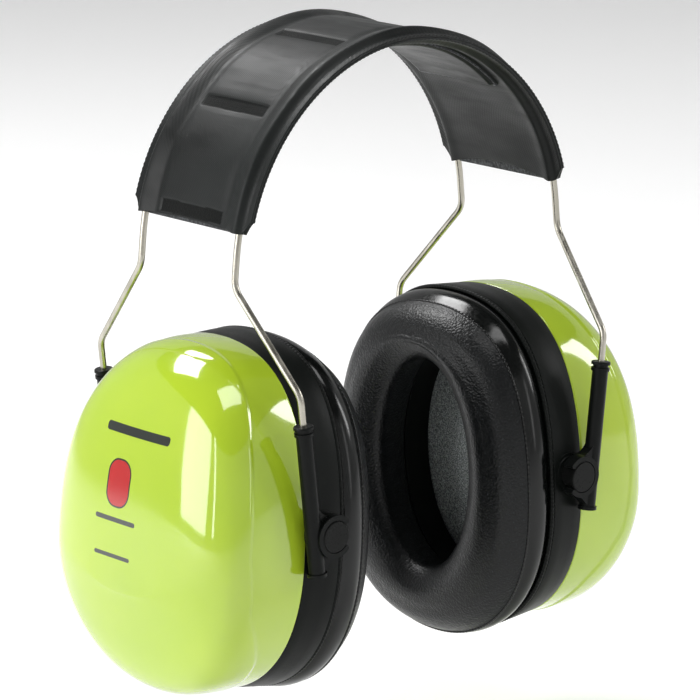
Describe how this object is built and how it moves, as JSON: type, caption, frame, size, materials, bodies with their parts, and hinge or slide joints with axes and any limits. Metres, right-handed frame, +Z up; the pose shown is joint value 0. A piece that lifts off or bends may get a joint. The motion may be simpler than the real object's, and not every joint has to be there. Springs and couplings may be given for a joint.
{
  "type": "hearing protection earmuffs",
  "caption": "Over-the-head hearing protection earmuffs: padded headband on sprung wires, sliding arms and tilting double-shell cups with soft ear cushions.",
  "frame": {"origin": "centre of the wearer's head space, midway between the cups at the height of the pivots the cups tilt on", "axes": "+X towards the wearer's right cup, +Y towards the nape (the face side is -Y), +Z up towards the headband"},
  "size_m": [0.1761, 0.097, 0.1918],
  "materials": {
    "shell_green": "glossy injection moulded, high visibility yellow-green",
    "base_black": "satin moulded",
    "pivot_black": "satin moulded",
    "arm_black": "satin moulded",
    "seal_rubber": "matte",
    "spring_wire": "drawn stainless spring wire",
    "band_cover": "embossed PVC-coated cloth, satin",
    "cushion_cover": "grained soft PVC, semi-gloss",
    "cushion_foam": "open cell foam",
    "absorber_foam": "open cell foam",
    "foam_cover": "speckled foam sheet"
  },
  "bodies": {
    "headband": {"front_wire": "spring_wire", "rear_wire": "spring_wire", "band_top_skin": "band_cover", "band_bottom_skin": "band_cover", "band_foam": "cushion_foam"},
    "right_cup": {"right_outer_shell": "shell_green", "right_inner_shell": "base_black", "right_seal_ring": "seal_rubber", "right_absorber_foam": "absorber_foam", "right_foam_cover": "foam_cover", "right_cushion_plate": "base_black", "right_cushion_skin": "cushion_cover", "right_cushion_foam": "cushion_foam", "right_front_stud": "pivot_black", "right_rear_stud": "pivot_black"},
    "right_front_arm": {"right_front_arm": "arm_black", "right_front_bush": "arm_black"},
    "right_rear_arm": {"right_rear_arm": "arm_black", "right_rear_bush": "arm_black"},
    "left_cup": {"left_outer_shell": "shell_green", "left_inner_shell": "base_black", "left_seal_ring": "seal_rubber", "left_absorber_foam": "absorber_foam", "left_foam_cover": "foam_cover", "left_cushion_plate": "base_black", "left_cushion_skin": "cushion_cover", "left_cushion_foam": "cushion_foam", "left_front_stud": "pivot_black", "left_rear_stud": "pivot_black"},
    "left_front_arm": {"left_front_arm": "arm_black", "left_front_bush": "arm_black"},
    "left_rear_arm": {"left_rear_arm": "arm_black", "left_rear_bush": "arm_black"}
  },
  "joints": [
    {"name": "right_front_slide", "type": "slide", "parent": "headband", "child": "right_front_arm", "axis": [0.1132, 0, 0.9936], "range_m": [-0.028, 0.0035]},
    {"name": "right_rear_slide", "type": "slide", "parent": "headband", "child": "right_rear_arm", "axis": [0.1132, 0, 0.9936], "range_m": [-0.028, 0.0035]},
    {"name": "right_cup_tilt", "type": "hinge", "parent": "right_front_arm", "child": "right_cup", "pos_m": [0.0488, 0, 0], "axis": [0, 1, 0], "range_deg": [-15, 15]},
    {"name": "left_front_slide", "type": "slide", "parent": "headband", "child": "left_front_arm", "axis": [-0.1132, 0, 0.9936], "range_m": [-0.028, 0.0035]},
    {"name": "left_rear_slide", "type": "slide", "parent": "headband", "child": "left_rear_arm", "axis": [-0.1132, 0, 0.9936], "range_m": [-0.028, 0.0035]},
    {"name": "left_cup_tilt", "type": "hinge", "parent": "left_front_arm", "child": "left_cup", "pos_m": [-0.0488, 0, 0], "axis": [0, 1, 0], "range_deg": [-19.7, 10.3]}
  ],
  "couplings": [
    {"joint": "right_rear_slide", "follows": "right_front_slide", "ratio": 1},
    {"joint": "left_rear_slide", "follows": "left_front_slide", "ratio": 1}
  ]
}
